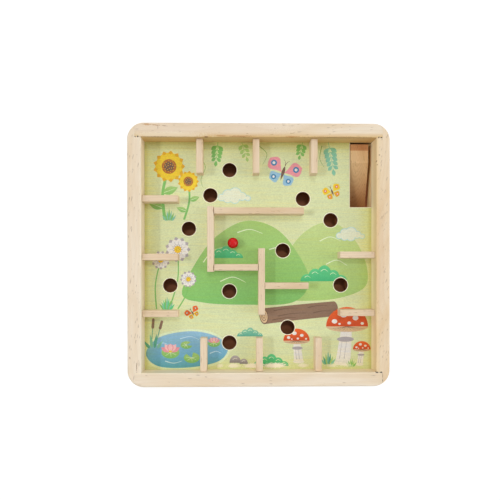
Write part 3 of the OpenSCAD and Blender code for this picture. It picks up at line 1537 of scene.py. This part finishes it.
GARDEN: tuple[Motif, ...] = (
    Field(
        ((16, -36), (30, 6), (50, 27), (72, 31), (92, 14), (103, -12), (98, -32), (60, -42)),
        Ink.LEAF,
        Ink.PALE_LEAF,
    ),
    Field(
        (
            (-72, -36), (-60, -8), (-40, 18), (-12, 33), (16, 26),
            (36, 4), (48, -24), (32, -44), (-14, -46), (-52, -44),
        ),
        Ink.DEEP_LEAF,
        Ink.LEAF,
    ),
    Strokes(
        (
            ((-52, -6), (-44, 4), (-34, 8)),
            ((-20, 22), (-8, 25), (4, 21)),
            ((10, 6), (20, 8), (28, 2)),
            ((-36, -24), (-24, -20), (-12, -25)),
            ((58, 14), (68, 18), (78, 14)),
            ((64, -8), (74, -4), (84, -9)),
        ),
        1.1,
        Ink.HIGHLIGHT,
    ),
    Bush((-31, -2), 30, Ink.BUSH, Ink.DEEP_BUSH),
    Bush((62, -24), 40, Ink.BUSH, Ink.DEEP_BUSH),
    Sunflower((-66, 70), 10, (-70, 34), 3),
    Sunflower((-84, 84), 15, (-88, 34), -4),
    Tuft((-84, 33), 12, 7, (Ink.TEAL, Ink.DEEP_LEAF)),
    Sprig((-38, 108), (-40, 88), 4, 8, Ink.DEEP_LEAF),
    Sprig((-16, 108), (-11, 92), 3, 7, Ink.LEAF),
    Sprig((66, 108), (71, 80), 5, 9, Ink.TEAL),
    Sprig((42, 108), (39, 94), 3, 7, Ink.DEEP_LEAF),
    Cloud((-24, 56), 17),
    Cloud((86, 20), 15),
    Butterfly((23, 78), 19, -18, (Ink.PINK, Ink.WATER, Ink.INDIGO)),
    Butterfly((70, 60), 10, 22, (Ink.YELLOW, Ink.AMBER, Ink.ORANGE)),
    Butterfly((-62, -54), 8, 30, (Ink.ORANGE, Ink.AMBER, Ink.SEED)),
    Daisy((-92, -4), 9, (-96, -50), -3, turn=10),
    Daisy((-76, 6), 12, (-84, -50), 4),
    Daisy((-66, -22), 8, (-76, -50), 3, turn=20),
    Tuft((-86, -51), 13, 9, (Ink.DEEP_LEAF, Ink.TEAL, Ink.BUSH)),
    Field(
        ((-107, -92), (-95, -75), (-66, -69), (-41, -73), (-27, -86), (-36, -101), (-64, -107), (-95, -106)),
        Ink.HIGHLIGHT,
        Ink.HIGHLIGHT,
    ),
    Field(
        ((-106, -92), (-94, -77), (-66, -71), (-42, -75), (-29, -86), (-37, -99), (-64, -105), (-94, -104)),
        Ink.DEEP_WATER,
        Ink.WATER,
    ),
    Strokes(
        (
            ((-96, -84), (-90, -82), (-84, -84)),
            ((-74, -78), (-64, -76), (-56, -79)),
            ((-88, -99), (-80, -101), (-72, -99)),
            ((-46, -92), (-40, -90), (-35, -92)),
        ),
        1.0,
        Ink.RIPPLE,
    ),
    LilyPad((-83, -91), 17, 60, 10),
    LilyPad((-63, -96), 15, 110),
    LilyPad((-68, -84), 11, 20),
    LilyPad((-42, -82), 12, 150, 6.5),
    Reed((-101, -86), (-99, -60)),
    Reed((-97, -84), (-91, -62)),
    Tuft((-99, -87), 17, 4, (Ink.DEEP_TEAL, Ink.TEAL)),
    Stone((-22, -101), 11, 7),
    Stone((-14, -102), 8, 5),
    Log((5, -57), (72, -50), 15),
    Toadstool((38, -100), 22, 25, -2),
    Toadstool((80, -101), 38, 40, 4),
    Toadstool((96, -103), 16, 17, 2),
    Tuft((66, -103), 13, 7, (Ink.TEAL, Ink.DEEP_TEAL, Ink.LEAF)),
    Tuft((88, -105), 9, 6, (Ink.LEAF, Ink.DEEP_LEAF)),
    Bush((12, -104), 30, Ink.BUSH, Ink.DEEP_BUSH),
    Bush((-8, -76), 22, Ink.TEAL, Ink.DEEP_TEAL),
    Strokes(
        (
            ((-52, 106), (-56, 96), (-50, 84), (-54, 72), (-52, 64)),
            ((0, 104), (8, 96), (4, 86)),
            ((60, 104), (58, 92), (62, 84)),
        ),
        0.8,
        Ink.VINE,
    ),
)


@dataclass
class PrintedSheet:
    """Thin printed sheet glued on the play board, cut out round the holes and the window.

    Attributes:
        left: its left edge.
        right: its right edge.
        half_depth: distance of its back and front edges from the middle.
        top: height of its upper face.
        thickness: its thickness.
        hole_radius: radius of the cut-outs over the trap holes.
        scorch: width of the browned edge round a hole.
        halo: width of the bare ring round that edge.
        window: left, front, right and back edge of the cut-out over the ramp.
        holes: centres of the trap holes.
        attribute: name of the colours on the mesh.
        ground: half the width of the ground that the picture is drawn on.
        spread: width of the square that the layout for baking covers.
        merge: distance under which corners become one.
    """

    left: float = -107.8
    right: float = 107.8
    half_depth: float = 107.8
    top: float = 20.04
    thickness: float = 0.04
    hole_radius: float = 6.5
    scorch: float = 0.25
    halo: float = 0.6
    window: tuple[float, float, float, float] = (86.1, 45.6, 110.0, 110.0)
    holes: tuple[Point, ...] = (
        (-27.25, 80.75), (-45.25, 57), (42, 53.75), (68.25, 33.75), (-65.5, 25.5), (23, 5),
        (77.75, -27.5), (-83, -27.75), (-27.5, -33.25), (27.5, -67.5), (-27.5, -81.75),
    )
    attribute: str = "ink"
    ground: float = 130.0
    spread: float = 220.0
    merge: float = 0.001

    def picture(self) -> Picture:
        """Draws the picture on its ground, and cuts away the window, the holes and what lies past the edges.

        Returns:
            The picture.
        """
        picture = Picture()
        far, deep = self.ground, self.half_depth
        picture.paint(block(-far, -far, far, far), Ink.MEADOW)
        for motif in GARDEN:
            motif.draw(picture)
        margins = (
            (-far, -far, self.left, far),
            (self.right, -far, far, far),
            (-far, -far, far, -deep),
            (-far, deep, far, far),
        )
        for edges in (self.window, *margins):
            picture.paint(block(*edges), Ink.NONE)
        edge = self.hole_radius + self.scorch
        rings = ((edge + self.halo, Ink.BARE), (edge, Ink.SCORCH), (self.hole_radius, Ink.NONE))
        for hole in self.holes:
            for radius, ink in rings:
                picture.paint(ellipse(hole, 2 * radius, 2 * radius), ink)
        return picture

    def build(self) -> bpy.types.Object:
        """Cuts the sheet into its fields of ink and gives it its thickness.

        Returns:
            The sheet.
        """
        patches = self.picture().patches
        corners, fields = [], []
        for patch in patches:
            fields.append(list(range(len(corners), len(corners) + len(patch.outline))))
            corners.extend(Vector(point) for point in patch.outline)
        points, _, faces, _, _, owners = delaunay_2d_cdt(corners, [], fields, INSIDE, self.merge)
        upper = [patches[max(numbers)] for numbers in owners]
        inked = [(face, patch) for face, patch in zip(faces, upper) if patch.ink is not Ink.NONE]
        mesh = bpy.data.meshes.new("printed_sheet")
        places = [(x * MM, y * MM, self.top * MM) for x, y in points]
        mesh.from_pydata(places, [], [face for face, _ in inked])
        colours = mesh.color_attributes.new(self.attribute, "FLOAT_COLOR", "CORNER")
        layout = mesh.uv_layers.new(name="OFBake")
        corner = 0
        for face, patch in inked:
            for k in face:
                x, y = points[k]
                colours.data[corner].color = patch.colour(y)
                layout.uv[corner].vector = 0.5 + x / self.spread, 0.5 + y / self.spread
                corner += 1
        sheet = bpy.data.objects.new("printed_sheet", mesh)
        bpy.context.collection.objects.link(sheet)
        select(sheet)
        bpy.ops.object.mode_set(mode="EDIT")
        bpy.ops.mesh.select_all(action="SELECT")
        bpy.ops.mesh.delete_loose()
        bpy.ops.object.mode_set(mode="OBJECT")
        solid = sheet.modifiers.new("thickness", "SOLIDIFY")
        solid.thickness = self.thickness * MM
        solid.offset = -1
        bpy.ops.object.modifier_apply(modifier=solid.name)
        return sheet

    def worn_marks(self) -> tuple[Mark, ...]:
        """Places the wear of the print.

        Returns:
            The marks along the front where the ink is rubbed off.
        """
        return (
            Mark((-36.5, -103.6), 8, 4.0, Stain.BARE, 0, 0.6),
            Mark((-23.5, -103.6), 14, 5.4, Stain.BARE, 2, 0.8),
            Mark((-4.5, -103.6), 24, 5.8, Stain.BARE, 0, 0.9),
            Mark((15.5, -103.5), 27, 6.0, Stain.BARE, 1, 1.0),
            Mark((42.0, -103.6), 12, 4.8, Stain.BARE, -2, 0.7),
            Mark((70.0, -103.6), 14, 4.0, Stain.BARE, 0, 0.5),
            Mark((84.0, -103.4), 12, 3.6, Stain.BARE, 0, 0.5),
        )

    def dress(self, sheet: bpy.types.Object) -> None:
        """Inks the sheet and glues it to the board.

        Args:
            sheet: the sheet.
        """
        ink = PrintInk("printed_ink", self.attribute, self.worn_marks(), self.top)
        sheet.data.materials.append(ink.material())
        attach(sheet, GAME)
        log.info("printed_sheet: %d faces", len(sheet.data.polygons))


def select(piece: bpy.types.Object) -> None:
    """Selects one piece alone and makes it active.

    Args:
        piece: the piece.
    """
    bpy.ops.object.select_all(action="DESELECT")
    piece.select_set(True)
    bpy.context.view_layer.objects.active = piece


@dataclass
class Frame:
    """The four rails.

    Attributes:
        joint: distance of a corner joint from the centre lines.
        lip: distance of the lips' inner faces from the centre line.
        pore: colour of the pores.
    """

    joint: float = 107.0
    lip: float = 112.75
    pore: Colour = Colour(128, 92, 64)

    def back_marks(self) -> tuple[Mark, ...]:
        """Places the marks of the back rail.

        Returns:
            The browned end, the rubbed streaks, the cracks and the chipped edge.
        """
        return (
            Mark((-55.0, 114.0), 210, 40, Stain.RUB, 0, 0.13),
            Mark((-82.0, 108.6), 90, 7.0, Stain.BARE, 0, 0.45),
            Mark((-91.0, self.joint - 0.4), 46, 1.4, Stain.CRACK, 0, 0.6),
            Mark((72.0, self.joint + 0.1), 76, 1.6, Stain.CRACK, 0, 0.42),
            Mark((-101.5, 118.0), 9, 2.2, Stain.RUB, -3, 0.7),
            Mark((-93.5, 117.4), 11, 1.0, Stain.RUB, -4, 0.8),
            Mark((-85.5, 116.8), 7, 1.0, Stain.CRACK, -8, 0.5),
            Mark((-91.5, 115.6), 5, 0.7, Stain.CRACK, 88, 0.5),
            Mark((-48.0, self.joint), 5, 1.6, Stain.CRACK, 0, 0.8),
            Mark((-34.0, self.joint + 1.0), 13, 1.1, Stain.RUB, -3, 0.8),
            Mark((-19.0, self.joint + 0.4), 24, 0.9, Stain.CRACK, -1, 0.6),
            Mark((-14.0, self.joint + 0.8), 30, 1.6, Stain.RUB, 0, 0.5),
            Mark((30.0, self.joint + 0.4), 16, 1.3, Stain.RUB, 1, 0.8),
        )

    def glue_marks(self) -> tuple[tuple[Mark, ...], ...]:
        """Places the dark glue of the joints, which both rails show.

        Returns:
            The crumbs at the back left, the back right and the front right joint.
        """
        y, lip = self.joint, self.lip
        back_left = (
            Mark((-112.0, y), 1.2, 1.2, Stain.GLUE, 0, 0.7),
            Mark((-109.6, y), 2.0, 1.6, Stain.GLUE),
        )
        back_right = (
            Mark((108.9, y), 1.9, 1.6, Stain.GLUE),
            Mark((111.4, y), 1.9, 1.6, Stain.GLUE),
        )
        front_right = (
            Mark((107.6, -y), 3.6, 1.4, Stain.GLUE, -6),
            Mark((111.4, -y), 3.2, 1.5, Stain.GLUE, -10),
            Mark((lip, -y - 3.2), 6.0, 0.6, Stain.CRACK, 90),
            Mark((lip, -y - 7.6), 4.0, 0.8, Stain.GLUE, 90, 0.8),
        )
        return back_left, back_right, front_right

    def right_marks(self) -> tuple[Mark, ...]:
        """Places the marks of the right rail.

        Returns:
            The rubbed streak and the small knots.
        """
        return (
            Mark((110.2, -6.0), 150, 12, Stain.RUB, 90, 0.13),
            Mark((107.2, 85.5), 2.4, 1.2, Stain.CRACK, 80, 0.7),
            Mark((107.6, 82.3), 2.0, 1.4, Stain.CRACK, 100, 0.6),
            Mark((109.5, 91.1), 1.6, 1.2, Stain.CRACK, 20, 0.9),
        )

    def left_marks(self) -> tuple[Mark, ...]:
        """Places the marks of the left rail.

        Returns:
            The long crack and the knot.
        """
        return (
            Mark((-110.9, -101.0), 12, 0.9, Stain.CRACK, 88, 0.7),
            Mark((-117.0, -93.0), 3, 1.2, Stain.CRACK, 96, 0.6),
        )

    def dress(self) -> None:
        """Gives each rail its wood."""
        pale, deep = Colour(234, 219, 197), Colour(226, 205, 174)
        across, along = Grain.ACROSS, Grain.ALONG
        back_left, back_right, front_right = self.glue_marks()
        woods = {
            "back_rail": RailWood(
                "rail_wood_back", across, pale, deep, self.pore, -4, 0.2,
                bare=Colour(212, 170, 86), upper_shading_share=0.66,
                foot=Colour(208, 166, 76), foot_shading_share=0.75, warm=5.5,
                stains=self.back_marks() + back_right + back_left,
            ),
            "front_rail": RailWood(
                "rail_wood_front", across, pale, deep, self.pore, 3, 0.1, 4.2,
                bare=Colour(252, 240, 214), upper_shading_share=0.5,
                foot=Colour(254, 235, 192), foot_shading_share=0.7,
                stains=front_right,
            ),
            "left_rail": RailWood(
                "rail_wood_left", along, pale, deep, self.pore, 7, 0.34,
                bare=Colour(252, 242, 222), upper_shading_share=0.5, foot_shading_share=0.14,
                stains=back_left + self.left_marks(),
            ),
            "right_rail": RailWood(
                "rail_wood_right", along, Colour(231, 211, 182), Colour(222, 194, 154), self.pore, 19, 0.36,
                bare=Colour(230, 200, 146), upper_shading_share=0.6,
                foot=Colour(246, 232, 194), foot_shading_share=0.9, warm=5.0,
                stains=back_right + front_right + self.right_marks(),
            ),
        }
        for name, wood in woods.items():
            dress([name], wood.material())


@dataclass
class MazeWalls:
    """The glued sticks that make the maze.

    Attributes:
        across: walls whose fibres run from left to right.
        along: walls whose fibres run from front to back.
    """

    across: tuple[str, ...] = (
        "left_stub_1", "left_stub_2", "left_stub_3", "right_stub_1", "right_stub_2",
        "pen_back_wall", "pen_front_wall", "branch_wall",
    )
    along: tuple[str, ...] = (
        "back_stub_1", "back_stub_2", "back_stub_3", "front_stub_1", "front_stub_2", "front_stub_3",
        "pen_side_wall", "centre_wall",
    )

    def dress(self) -> None:
        """Gives each wall its wood."""
        pale, deep, pore = Colour(230, 209, 181), Colour(215, 187, 150), Colour(150, 110, 76)
        glue = (
            Mark((-41.6, 41), 6.4, 0.9, Stain.CRACK, 90, 0.9),
            Mark((-41.6, -11), 6.4, 0.8, Stain.CRACK, 90, 0.9),
            Mark((-0.6, -11), 6.4, 0.8, Stain.CRACK, 90, 0.9),
            Mark((5.6, -28), 6.4, 0.7, Stain.CRACK, 90, 0.7),
        )
        for grain, names in ((Grain.ACROSS, self.across), (Grain.ALONG, self.along)):
            name = f"wall_wood_{grain.name.lower()}"
            wood = WallWood(name, grain, pale, deep, pore, 1.5, 0.3, 1.6, 0.04, 0.4, stains=glue)
            dress(names, wood.material())


@dataclass
class BallReturn:
    """Play board, base board with its brads, and the return ramp.

    Attributes:
        board_top: height of the play board's upper face.
        board_thickness: thickness of the play board.
    """

    board_top: float = 20.0
    board_thickness: float = 3.0

    def dress(self) -> None:
        """Gives the boards, the ramp and the brads their finishes."""
        board = ScorchedPlywood(
            "board_plywood",
            Colour(246, 236, 208),
            Colour(58, 32, 22),
            Colour(92, 60, 42),
            self.board_top,
            self.board_thickness,
        )
        dress(["play_board"], board.material())
        ramp = RampWood(
            "ramp_wood", Grain.ALONG,
            Colour(230, 195, 146), Colour(204, 160, 110), Colour(140, 92, 54), -8, 0.4, 1.5,
            heart=(95.0, 95.5),
        )
        dress(["return_ramp"], ramp.material())
        base = DeckPlywood(
            "base_plywood", Grain.ACROSS,
            Colour(222, 192, 150), Colour(206, 172, 126), Colour(150, 108, 72), 2, 0.3, 5.0,
        )
        dress(["base_board"], base.material())
        dress(["base_brads"], WireSteel("brad_steel", Colour(176, 176, 178)).material())


@dataclass
class Ball:
    """The loose ball.

    Attributes:
        middle: height of its middle.
        crown: height above which the lacquer keeps its crown colour, a little under its top; under it the
            painted shade begins.
    """

    middle: float = 25.3
    crown: float = 30.05

    def dress(self) -> None:
        """Lacquers the ball."""
        lacquer = Lacquer("red_lacquer", Colour(206, 4, 10), Colour(144, 0, 4), self.middle, self.crown)
        dress(["ball"], lacquer.material())


@dataclass(frozen=True)
class Lamp:
    """A far lamp.

    Attributes:
        strength: its strength.
        back: its lean to the back, in degrees.
        left: its lean to the left, in degrees.
        softness: its width as it is seen from the floor, in degrees.
    """

    strength: float
    back: float
    left: float
    softness: float

    def hang(self, name: str) -> None:
        """Hangs the lamp.

        Args:
            name: its name.
        """
        turn = (-math.radians(self.back), -math.radians(self.left), 0)
        bpy.ops.object.light_add(type="SUN", location=(0, 0, 1), rotation=turn)
        lamp = bpy.context.object
        lamp.name = name
        lamp.data.energy = self.strength
        lamp.data.angle = math.radians(self.softness)


@dataclass
class Studio:
    """Floor, light and camera.

    Attributes:
        eye: place of the camera.
        tilt: turns of the camera about X, Y and Z, in degrees.
        rise: how far the picture is framed above the lens's axis, as a share of its width.
        lens: focal length.
        sensor: width of the sensor.
        fill: brightness of the surroundings.
        lamps: the lamps, three narrow ones and a wide one above, and four wide ones at the sides.
        floor_size: width of the floor.
        floor_drop: how far the floor lies under the game.
        floor_lit: grey of the floor as it lights the game.
        floor_seen: grey of the floor as it is seen, which its shadow darkens.
        floor_glow: light that is added to that grey, so that it is white where no shadow falls.
    """

    eye: tuple[float, float, float] = (-16.550, -19.139, 484.429)
    tilt: tuple[float, float, float] = (-0.304, -1.0541, -0.0362)
    rise: float = 0.05756
    lens: float = 35.434
    sensor: float = 36.0
    fill: float = 0.1
    lamps: tuple[Lamp, ...] = (
        Lamp(0.46, 20.6, 0, 4),
        Lamp(0.68, 0, 40, 4),
        Lamp(0.12, 0, -32, 8),
        Lamp(0.18, 0, 0, 40),
        Lamp(0.92, 66, 0, 60),
        Lamp(0.80, 0, 66, 50),
        Lamp(1.52, 0, -66, 50),
        Lamp(0.65, -66, 0, 50),
    )
    floor_size: float = 8000.0
    floor_drop: float = 0.2
    floor_lit: float = 0.5
    floor_seen: float = 0.3
    floor_glow: float = 0.78

    def build(self) -> None:
        """Sets up floor, surroundings, lamps and camera."""
        self.lay_floor()
        self.surround()
        for number, lamp in enumerate(self.lamps, 1):
            lamp.hang(f"lamp_{number}")
        self.stand_camera()
        bpy.context.scene.view_settings.view_transform = "Standard"

    def lay_floor(self) -> None:
        """Lays a pale floor that keeps the shadow and is white to the camera where it is lit."""
        bpy.ops.mesh.primitive_plane_add(size=self.floor_size * MM, location=(0, 0, -self.floor_drop * MM))
        floor = bpy.context.object
        floor.name = "floor"
        g = Graph("floor_white")
        seen = g.seen()
        lit, shown = ((grey, grey, grey, 1) for grey in (self.floor_lit, self.floor_seen))
        white = g.finish(
            Base_Color=g.blend(seen, lit, shown),
            Roughness=0.9,
            Specular_IOR_Level=0.0,
            Emission_Color=(1, 1, 1, 1),
            Emission_Strength=g.calc("MULTIPLY", seen, self.floor_glow),
        )
        floor.data.materials.append(white)
        log.info("floor laid")

    def surround(self) -> None:
        """Lights the scene from all sides, white to the camera and in reflections."""
        g = Graph("surroundings", world=True)
        strength = g.add("MapRange", {0: g.seen(), 3: self.fill, 4: 1.0}).outputs[0]
        bpy.context.scene.world = g.finish(Color=(1, 1, 1, 1), Strength=strength)
        log.info("surroundings lit")

    def stand_camera(self) -> None:
        """Stands the camera over the tray."""
        turn = [math.radians(angle) for angle in self.tilt]
        bpy.ops.object.camera_add(location=Vector(self.eye) * MM, rotation=turn)
        camera = bpy.context.object
        camera.data.lens = self.lens
        camera.data.sensor_width = self.sensor
        camera.data.shift_y = self.rise
        bpy.context.scene.camera = camera


def main() -> None:
    """Builds and dresses the pieces in order."""
    logging.basicConfig(level=logging.INFO, format="%(name)s: %(message)s")
    bpy.ops.object.select_all(action="DESELECT")
    Studio().build()
    Frame().dress()
    MazeWalls().dress()
    BallReturn().dress()
    sheet = PrintedSheet()
    sheet.dress(sheet.build())
    Ball().dress()


if __name__ == "__main__":
    main()
